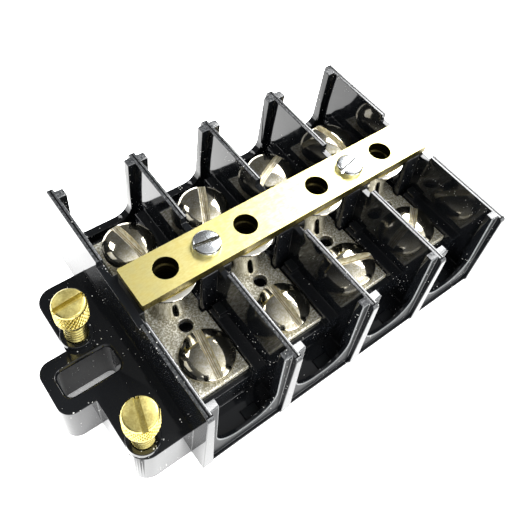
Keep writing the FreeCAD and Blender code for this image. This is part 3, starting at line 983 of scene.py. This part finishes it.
@dataclass
class ContactPosts:
    """The turned posts under the bar, with trumpet mouths and tapped holes.

    stud_mm, foot_mm, waist_mm, disc_mm and bore_mm are radii.
    """

    finishes: Finishes
    stud_mm: float = 1.9
    stud_z: float = 0.5
    stud_end_mm: float = 0.3
    foot_mm: float = 3.6
    foot_edge_mm: float = 0.08
    waist_mm: float = 3.0
    disc_mm: float = 5.1
    disc_edge_mm: float = 0.12
    rim_mm: float = 0.45
    bore_mm: float = 1.9
    bore_floor_z: float = 9.0
    thread_deep_mm: float = 0.16
    lead_mm: float = 0.75
    # the ring round the hole's mouth that gets painted shade
    painted_shade_ring_mm: float = 0.62
    # the waist is swept in so many steps, quickly from the foot and slowly to the mouth
    sweep_steps: int = 28
    foot_power: float = 4.0
    mouth_power: float = 3.2

    def outline(self) -> Outline:
        """Trace the post from the stud's end round the mouth to the floor of its hole.

        Returns:
            Radius and height of each point, mm.
        """
        top, low, lip = POST_TOP_Z, PLATE_TOP_Z, 0.04
        points = [(0.0, self.stud_z), (self.stud_mm - self.stud_end_mm, self.stud_z),
                  (self.stud_mm, self.stud_z + self.stud_end_mm), (self.stud_mm, low),
                  (self.foot_mm - self.foot_edge_mm, low),
                  (self.foot_mm, low + self.foot_edge_mm)]
        rise = top - self.rim_mm - low
        for i in range(1, self.sweep_steps + 1):
            t = i / self.sweep_steps
            foot = (self.foot_mm - self.waist_mm) * (1 - t) ** self.foot_power
            mouth = (self.disc_mm - lip - self.waist_mm) * t ** self.mouth_power
            points.append((self.waist_mm + foot + mouth, low + rise * t))
        points += [(self.disc_mm, top - self.rim_mm + 0.06),
                   (self.disc_mm, top - self.disc_edge_mm), (self.disc_mm - lip, top - lip),
                   (self.disc_mm - self.disc_edge_mm, top), (self.bore_mm + self.painted_shade_ring_mm, top),
                   (self.bore_mm + 0.25, top), (self.bore_mm + 0.02, top - 0.22)]
        z = top - 0.3
        while z - self.lead_mm > self.bore_floor_z + 0.3:
            points += [(self.bore_mm, z),
                       (self.bore_mm + self.thread_deep_mm, z - self.lead_mm / 2)]
            z -= self.lead_mm
        return points + [(self.bore_mm, z), (self.bore_mm, self.bore_floor_z + 0.1),
                         (0.0, self.bore_floor_z)]

    def in_painted_shade(self, face: Face) -> bool:
        """Say whether a face lies in the tapped hole or on the ring round it, which get painted
        shade.

        Args:
            face: a face of a post.

        Returns:
            Whether it does.
        """
        out, z = from_post(face) - self.bore_mm, face.center.z / MM
        inside = out < 0.2 and PLATE_TOP_Z < z < POST_TOP_Z - 0.25
        return inside or (out < self.painted_shade_ring_mm - 0.02 and z > POST_TOP_Z - 0.3)

    def build(self) -> None:
        """Turn each post in its bay."""
        for number, x in enumerate(BAYS, 1):
            piece = settle(turn_profile(self.outline(), (x, 0.0)), f"post_{number}")
            dress(piece, self.finishes.post, "strip", "nickel_post", f"contact_post_{number}")
            # painted shade: dark brown in the hole and on the ring round its mouth
            refinish(piece, self.finishes.painted_brown_shade_and_reflection, self.in_painted_shade)


@dataclass(frozen=True)
class Knurl:
    """Two opposed sets of slanting teeth, crossed round a head."""

    teeth: int = 28
    half_mm: float = 0.15
    deep_mm: float = 0.24
    sweep_degrees: float = 34.0
    steps: int = 6
    above_seat_mm: float = 0.55
    below_top_mm: float = 0.62

    def ridges(self, place: tuple[float, float], radius: float, seat: float,
               top: float) -> list[bmesh.types.BMesh]:
        """Sweep one tooth of each hand and repeat it round the head.

        Args:
            place: x and y of the axis, mm.
            radius: radius of the teeth's tips, mm.
            seat: height of the head's underside, mm.
            top: height of the head's top, mm.

        Returns:
            The two sets, in metres.
        """
        x, y = place
        centre = (x * MM, y * MM, 0.0)
        low = seat + self.above_seat_mm
        rise = top - self.below_top_mm - low
        tooth = ((-self.half_mm, -self.deep_mm), (0.0, 0.0), (self.half_mm, -self.deep_mm))
        sets = []
        for hand in (1, -1):
            bm = bmesh.new()
            start = bm.faces.new([bm.verts.new(((x + radius + r) * MM, (y + s) * MM, low * MM))
                                  for s, r in tooth])
            bmesh.ops.spin(bm, geom=[start], cent=centre, axis=(0.0, 0.0, 1.0),
                           dvec=(0.0, 0.0, rise / self.steps * MM),
                           angle=hand * math.radians(self.sweep_degrees), steps=self.steps,
                           use_duplicate=False)
            one = bm.verts[:] + bm.edges[:] + bm.faces[:]
            for i in range(1, self.teeth):
                copy = bmesh.ops.duplicate(bm, geom=one)
                moved = [g for g in copy["geom"] if isinstance(g, bmesh.types.BMVert)]
                bmesh.ops.rotate(bm, verts=moved, cent=centre,
                                 matrix=Matrix.Rotation(math.tau * i / self.teeth, 3, "Z"))
            sets.append(bm)
        return sets


# edges of the heads: mm in from the rim with mm up from the seat, then with mm down from the top
HEAD_EDGES = {
    Drive.DOMED: (((0.14, 0.0), (0.04, 0.05), (0.0, 0.16), (0.0, 0.78)), ()),
    Drive.CHEESE: (((0.06, 0.0), (0.0, 0.06)),
                   ((0.0, 0.4), (0.05, 0.24), (0.18, 0.1), (0.45, 0.0))),
    Drive.KNURLED: (((0.4, 0.0), (0.06, 0.34), (0.06, 0.5), (0.24, 0.6)),
                    ((0.24, 0.66), (0.06, 0.58), (0.06, 0.5), (0.12, 0.3), (0.3, 0.08),
                     (0.5, 0.0))),
}


@dataclass
class Screw:
    """One slotted screw: head, slot, shank and thread. head_mm and shank_mm are radii."""

    node: str
    drive: Drive
    place: tuple[float, float]
    seat_z: float
    angle: float
    head_mm: float
    rise_mm: float
    shank_mm: float
    length_mm: float
    slot_mm: float
    slot_deep_mm: float
    slot_finishes: tuple[bpy.types.Material, ...] = ()
    lead_mm: float = 0.75
    plain_mm: float = 0.0
    thread_deep_mm: float = 0.2
    edge_mm: float = 0.07
    edge_degrees: float = 50.0
    # a domed head's upright rim, and how much fuller than a ball its dome is
    skirt_mm: float = 0.9
    fullness: float = 0.75
    dome_steps: int = 12
    # the cutter's marks in a domed head's slot, by their distance from its middle
    marks: tuple[float, ...] = (-0.4, -0.08, 0.3)
    mark_mm: float = 0.13
    mark_deep_mm: float = 0.07

    @property
    def top_z(self) -> float:
        """Height of the head's top, mm."""
        return self.seat_z + self.rise_mm

    def head(self) -> Outline:
        """Trace the head from under its rim to the middle of its top.

        Returns:
            Radius and height of each point, mm.
        """
        lip, crown = HEAD_EDGES[self.drive]
        points = [(self.head_mm - inward, self.seat_z + up) for inward, up in lip]
        if self.drive is Drive.DOMED:
            rim = self.seat_z + self.skirt_mm
            for i in range(self.dome_steps):
                t = (i + 0.6) / self.dome_steps * math.pi / 2
                points.append((self.head_mm * math.cos(t) ** self.fullness,
                               rim + (self.top_z - rim) * math.sin(t)))
        points += [(self.head_mm - inward, self.top_z - down) for inward, down in crown]
        return points + [(0.0, self.top_z)]

    def shank(self) -> Outline:
        """Trace the shank's core from its end to the seat.

        Returns:
            Radius and height of each point, mm.
        """
        end = self.seat_z - self.length_mm
        core = self.shank_mm - self.thread_deep_mm
        return [(0.0, end), (core - 0.4, end), (core, end + 0.4),
                (core, self.seat_z - self.plain_mm - 0.1),
                (self.shank_mm, self.seat_z - self.plain_mm), (self.shank_mm, self.seat_z)]

    def cut_slot(self, piece: bpy.types.Object, aside: float, width: float,
                 depth: float) -> None:
        """Cut the slot, or one mark along it.

        Args:
            piece: the screw.
            aside: distance from the slot's middle, mm.
            width: width of the cut, mm.
            depth: depth of the cut below the head's top, mm.
        """
        turn = math.radians(self.angle)
        x, y = self.place
        cut_with(piece, slot_bar(x - aside * math.sin(turn), y + aside * math.cos(turn),
                                 self.top_z, self.head_mm * 2.4, width, depth, self.angle))

    def ridges(self) -> list[bmesh.types.BMesh]:
        """Make the thread, and the knurl where the head has one.

        Returns:
            The closed shells, in metres.
        """
        x, y = self.place
        parts = [thread_ridge(x, y, self.seat_z - self.length_mm + 0.3,
                              self.seat_z - self.plain_mm - 0.05,
                              self.shank_mm - self.thread_deep_mm, self.shank_mm, self.lead_mm)]
        if self.drive is Drive.KNURLED:
            parts += Knurl().ridges(self.place, self.head_mm, self.seat_z, self.top_z)
        return parts

    def patch(self, face: Face) -> Cut:
        """Say which finish a face has.

        A domed head's slot is bright, with painted shade at its tool marks' bottoms. A cheese
        head's slot has a bright floor and painted shade on its walls, and a painted reflection on
        its broken edge.

        Args:
            face: a face of the screw.

        Returns:
            The finish.
        """
        turn = math.radians(self.angle)
        floor = self.top_z - self.slot_deep_mm
        domed = self.drive is Drive.DOMED
        x, y, z = (v / MM for v in face.center)
        x, y = x - self.place[0], y - self.place[1]
        out = math.hypot(x, y)
        broken = 0.3 < face.normal.z < 0.95 and z > self.seat_z
        # painted reflection: a cheese head's broken edge is laid dark brown
        if broken and not domed and out > self.head_mm - 0.3:
            return Cut.DARK
        across = abs(y * math.cos(turn) - x * math.sin(turn))
        reach = self.head_mm - (self.skirt_mm if domed else 0.0)
        if across < self.slot_mm / 2 + 0.01 and z > floor - 0.1 and out < reach:
            wall = abs(face.normal.z) < 0.5 and not domed
            # painted shade: a cheese slot's walls, and the bottoms of a domed slot's tool marks
            return Cut.DARK if wall or z < floor - 0.01 else Cut.BRIGHT
        return Cut.OWN

    def build(self, material: bpy.types.Material, slot: str) -> None:
        """Turn the screw, cut its slot and add its thread.

        Args:
            material: the screw's finish.
            slot: the record's material slot.
        """
        piece = settle(turn_profile(self.shank() + self.head(), self.place),
                       self.node + "_piece")
        self.cut_slot(piece, 0.0, self.slot_mm, self.slot_deep_mm)
        if self.drive is Drive.DOMED:
            for aside in self.marks:
                self.cut_slot(piece, aside, self.mark_mm, self.slot_deep_mm + self.mark_deep_mm)
        add_shells(piece, self.ridges())
        soften(piece, self.edge_mm, angle=self.edge_degrees)
        dress(piece, material, self.node + "_body", slot, self.node)
        if self.slot_finishes:
            for finish in self.slot_finishes:
                piece.data.materials.append(finish)
            for face in piece.data.polygons:
                face.material_index = self.patch(face)


@dataclass
class ScrewSet:
    """All the strip's screws."""

    finishes: Finishes
    binding_y: float = 12.3
    front_angles: tuple[float, ...] = (80.3, 87.3, -16.3, 38.0)
    rear_angles: tuple[float, ...] = (98.0, 63.0, 24.5, 95.0)
    # the rear screws stand so far out, with this much air under them at their lowest
    backed_out_mm: float = 1.7
    air_mm: float = 0.03
    bar_angles: tuple[float, float] = (-9.0, 12.0)

    def binding(self) -> None:
        """Build the domed screws that hold the wires on the plates."""
        # the slot is milled nickel; the bottoms of its tool marks get brass as painted shade
        cut = (self.finishes.milled, self.finishes.sleeve_and_painted_groove_shade)
        for side, angles in ((Side.FRONT, self.front_angles), (Side.REAR, self.rear_angles)):
            air = self.air_mm if side is Side.REAR else 0.0
            out = self.backed_out_mm if side is Side.REAR else 0.0
            for number, (x, angle) in enumerate(zip(BAYS, angles), 1):
                Screw(f"binding_screw_{side.name.lower()}_{number}", Drive.DOMED,
                      (x, side.value * self.binding_y), PLATE_TOP_Z + out + air, angle,
                      head_mm=4.75, rise_mm=2.7 - air, shank_mm=2.05, length_mm=6.0,
                      slot_mm=1.5, slot_deep_mm=1.5,
                      slot_finishes=cut).build(self.finishes.binding, "nickel_screw")

    def holding(self) -> None:
        """Build the two cheese-headed screws that hold the bar down."""
        # the slot's floor is bare zinc; its walls and the head's broken edge get painted shade and
        # reflection
        cut = (self.finishes.zinc, self.finishes.painted_brown_shade_and_reflection)
        for number, (x, angle) in enumerate(zip((-PITCH, PITCH), self.bar_angles), 1):
            Screw(f"bar_screw_{number}", Drive.CHEESE, (x, 0.0), BAR_TOP_Z, angle,
                  head_mm=2.5, rise_mm=1.15, shank_mm=1.25, length_mm=7.0, slot_mm=0.7,
                  slot_deep_mm=0.6, slot_finishes=cut, lead_mm=0.5,
                  plain_mm=1.6).build(self.finishes.zinc, "zinc_screw")

    def shorting(self) -> None:
        """Build the two knurled screws parked in the flange."""
        for number, (x, y, angle) in enumerate(PARKED, 1):
            Screw(f"shorting_screw_{number}", Drive.KNURLED, (x, y), PARKED_SEAT_Z, angle,
                  head_mm=2.75, rise_mm=4.2, shank_mm=1.84, length_mm=10.2, slot_mm=0.9,
                  slot_deep_mm=1.1,
                  plain_mm=1.6).build(self.finishes.knurled, "knurled_brass")

    def build(self) -> None:
        """Build the binding, bar and shorting screws."""
        self.binding()
        self.holding()
        self.shorting()


@dataclass
class ShortingBar:
    """The brass bar over the posts."""

    finishes: Finishes
    edge_mm: float = 0.12
    hole_mm: float = 2.2
    hole_levels: tuple[float, float] = (17.85, 19.3)

    def painted_shade_in_hole(self, face: Face) -> bool:
        """Say whether a face is the wall of a hole over a post, which gets painted shade."""
        low, high = self.hole_levels
        return from_post(face) < self.hole_mm and low < face.center.z / MM < high

    def build(self) -> None:
        """Build the bar with broken edges, painted shade in its holes, and sides cut by shears
        that are painted dark olive as a painted reflection.
        """
        piece = settle(welded_copy("shorting_bar"), "brass_bar")
        soften(piece, self.edge_mm)
        dress(piece, self.finishes.bar, "strip", "bar_brass", "shorting_bar")
        # painted shade on the holes' walls
        refinish(piece, self.finishes.painted_brown_shade_and_reflection, self.painted_shade_in_hole)
        # painted reflection: the bar's sides are laid dark olive
        refinish(piece, self.finishes.sheared_with_painted_reflection,
                 lambda face: face.material_index == 0 and abs(face.normal.z) < 0.5)


@dataclass
class HiddenFixings:
    """Sleeves in the pillars and nuts in the underside; their solids stay."""

    finishes: Finishes

    def build(self) -> None:
        """Dress the CAD solids."""
        for node, material in (("wall_inserts", self.finishes.sleeve_and_painted_groove_shade),
                               ("post_nuts", self.finishes.nut)):
            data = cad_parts[node].data
            for i in range(len(data.materials)):
                data.materials[i] = material


# ---- the studio ----


@dataclass(frozen=True)
class SoftPanel:
    """A rectangular soft light that faces the strip."""

    name: str
    centre_mm: tuple[float, float, float]
    size_mm: tuple[float, float]
    radiance: float

    def hang(self) -> None:
        """Hang the panel and turn it to the strip's middle."""
        width, height = (side * MM for side in self.size_mm)
        lamp = bpy.data.lights.new(self.name, "AREA")
        lamp.shape = "RECTANGLE"
        lamp.size = width
        lamp.size_y = height
        lamp.energy = self.radiance * math.pi * width * height
        holder = bpy.data.objects.new(self.name, lamp)
        holder.location = Vector(self.centre_mm) * MM
        aim = (Vector((0.0, 0.0, 5.0)) - Vector(self.centre_mm)).normalized()
        holder.rotation_mode = "QUATERNION"
        holder.rotation_quaternion = aim.to_track_quat("-Z", "Y")
        bpy.context.scene.collection.objects.link(holder)


@dataclass
class Studio:
    """Light table, soft lights and the camera at the photograph's angle."""

    finishes: Finishes
    # the camera: its place, its axes and its lens
    eye_mm: tuple[float, float, float] = (-52.6, -48.76, 107.5)
    right: tuple[float, float, float] = (0.7932, -0.6012, 0.0969)
    up: tuple[float, float, float] = (0.4326, 0.6683, 0.6053)
    ahead: tuple[float, float, float] = (0.4287, 0.4382, -0.7901)
    lens_mm: float = 44.84
    shift: tuple[float, float] = (0.0019, -0.0868)
    panels: tuple[SoftPanel, ...] = (
        SoftPanel("key_right", (288.0, 88.0, 264.0), (230.0, 230.0), 14.0),
        SoftPanel("front_soft", (100.0, -260.0, 292.0), (95.0, 85.0), 14.0),
        SoftPanel("rear_left", (-130.0, 250.0, 300.0), (110.0, 110.0), 7.0),
    )
    # the room: its strength away from and toward its bright side, and where that is
    room: tuple[float, float] = (0.12, 1.5)
    bright_side: tuple[float, float, float] = (0.39, -0.83, 0.39)
    falling: float = 1.5

    def floor(self) -> None:
        """Lay the light table."""
        bm = bmesh.new()
        bmesh.ops.create_grid(bm, x_segments=2, y_segments=2, size=3.0)
        sheet = settle(bm, "table_floor")
        sheet.data.materials.append(self.finishes.table)

    def pale_room(self) -> None:
        """Put the strip in a pale room that is brighter on one side."""
        world = bpy.data.worlds.new("pale_room")
        world.use_nodes = True
        tree = world.node_tree
        back = tree.nodes["Background"]
        back.inputs["Color"].default_value = linear("f4f5f6")
        place = add_node(tree, "ShaderNodeTexCoord")
        toward = add_node(tree, "ShaderNodeVectorMath", {1: self.bright_side},
                          {0: place.outputs["Generated"]}, operation="DOT_PRODUCT")
        share = add_node(tree, "ShaderNodeMapRange", {"From Min": -0.1, "From Max": 0.8},
                         {"Value": toward.outputs["Value"]})
        fall = add_node(tree, "ShaderNodeMath", {1: self.falling}, {0: share.outputs["Result"]},
                        operation="POWER")
        light = add_node(tree, "ShaderNodeMapRange",
                         {"To Min": self.room[0], "To Max": self.room[1]},
                         {"Value": fall.outputs["Value"]})
        tree.links.new(light.outputs["Result"], back.inputs["Strength"])
        bpy.context.scene.world = world

    def camera(self) -> None:
        """Place the camera as the photograph's."""
        lens = bpy.data.cameras.new("photo_camera")
        lens.sensor_width = 36.0
        lens.lens = self.lens_mm
        lens.shift_x, lens.shift_y = self.shift
        lens.clip_start = 0.005
        lens.clip_end = 20.0
        holder = bpy.data.objects.new("photo_camera", lens)
        back = -Vector(self.ahead)
        turn = Matrix((self.right, self.up, back)).transposed()
        holder.matrix_world = Matrix.Translation(Vector(self.eye_mm) * MM) @ turn.to_4x4()
        bpy.context.scene.collection.objects.link(holder)
        bpy.context.scene.camera = holder

    def build(self) -> None:
        """Set the whole studio."""
        self.floor()
        for panel in self.panels:
            panel.hang()
        self.pale_room()
        self.camera()
        bpy.context.scene.view_settings.view_transform = "Standard"


def main() -> None:
    """Build the strip and the studio in order."""
    logging.basicConfig(level=logging.INFO, format="%(name)s: %(message)s")
    finishes = Finishes()
    Studio(finishes).build()
    for part in (MouldedBase(finishes), TerminalPlates(finishes), ContactPosts(finishes),
                 ScrewSet(finishes), ShortingBar(finishes), HiddenFixings(finishes)):
        part.build()


if __name__ == "__main__":
    main()
